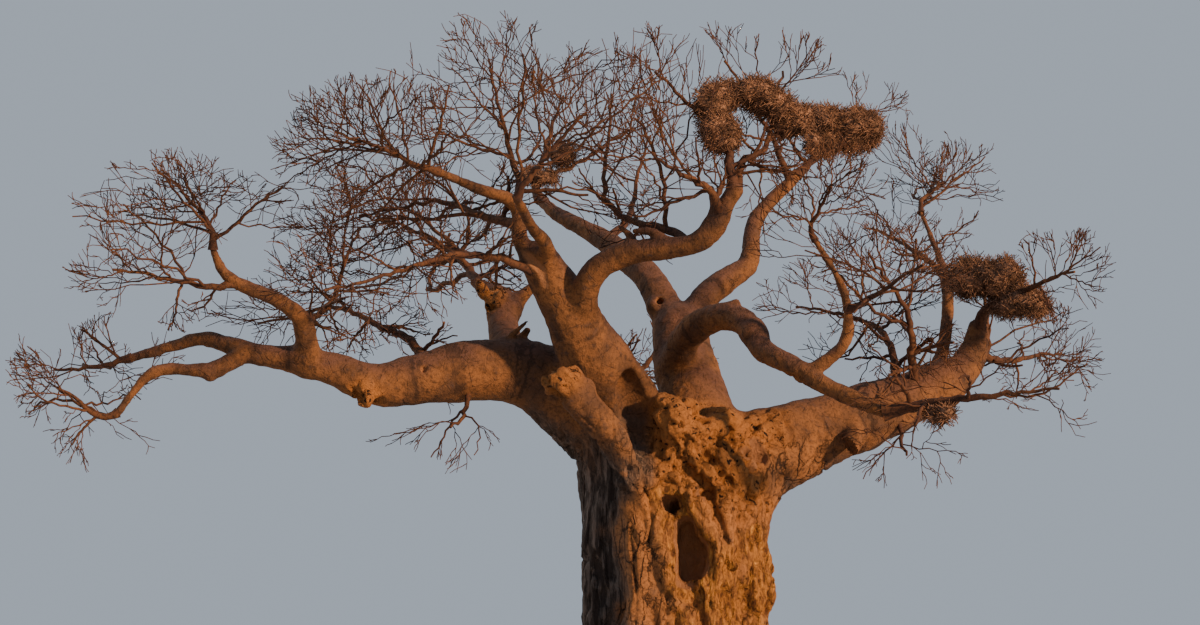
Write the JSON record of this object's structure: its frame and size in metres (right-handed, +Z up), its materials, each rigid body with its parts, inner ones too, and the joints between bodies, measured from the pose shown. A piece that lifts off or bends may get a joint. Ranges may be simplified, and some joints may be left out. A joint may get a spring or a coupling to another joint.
{
  "type": "baobab tree",
  "caption": "Bare old baobab in the dry season: a broad fluted trunk with a hollow, thick crooked boughs, a wide open crown of leafless twigs and shaggy stick nests.",
  "frame": {"origin": "middle of the flat cut under the trunk, at ground level", "axes": "+Z up along the trunk, +X to the right and +Y away from a viewer of the pictured side"},
  "size_m": [24.0881, 18.1993, 18.9462],
  "materials": {
    "bark": "folded smooth bark, orange-brown with purple-grey weathering, flaking and pitted on the trunk",
    "bare_twigs": "matt reddish-brown leafless twigs",
    "nest_sticks": "dark brown heaped thorny sticks"
  },
  "bodies": {
    "root": {"arching_bough": "bark", "arching_fork_twigs": "bare_twigs", "arching_inner_twigs": "bare_twigs", "arching_side_twigs": "bare_twigs", "arching_tip_twigs": "bare_twigs", "back_bough": "bark", "back_twigs": "bare_twigs", "broken_bough": "bark", "centre_bough": "bark", "centre_front_limb": "bark", "centre_left_limb": "bark", "centre_left_twigs": "bare_twigs", "centre_low_twigs": "bare_twigs", "centre_nest": "nest_sticks", "centre_top_twigs": "bare_twigs", "far_right_nest": "nest_sticks", "front_twigs": "bare_twigs", "hooped_bough": "bark", "hooped_riser": "bark", "hooped_riser_twigs": "bare_twigs", "hooped_run": "bark", "hooped_side_twigs": "bare_twigs", "hooped_tip_twigs": "bare_twigs", "inner_low_twigs": "bare_twigs", "inner_riser_twigs": "bare_twigs", "left_bough": "bark", "left_hanging_twigs": "bare_twigs", "left_high_twigs": "bare_twigs", "left_hook_bough": "bark", "left_hook_twigs": "bare_twigs", "left_low_bough": "bark", "left_riser": "bark", "left_side_twigs": "bare_twigs", "left_tip_twigs": "bare_twigs", "long_left_twigs": "bare_twigs", "low_right_nest": "nest_sticks", "middle_bough": "bark", "rear_bough": "bark", "rear_far_twigs": "bare_twigs", "rear_left_bough": "bark", "rear_left_twigs": "bare_twigs", "rear_top_twigs": "bare_twigs", "right_bough": "bark", "right_bough_end": "bark", "right_far_riser": "bark", "right_far_twigs": "bare_twigs", "right_hanging_twigs": "bare_twigs", "right_high_twigs": "bare_twigs", "right_inner_twigs": "bare_twigs", "right_low_twigs": "bare_twigs", "right_near_twigs": "bare_twigs", "right_rear_twigs": "bare_twigs", "top_left_nest": "nest_sticks", "top_right_nest": "nest_sticks", "trunk": "bark", "upright_bough": "bark", "upright_fork_twigs": "bare_twigs", "upright_tip_twigs": "bare_twigs"}
  },
  "joints": []
}
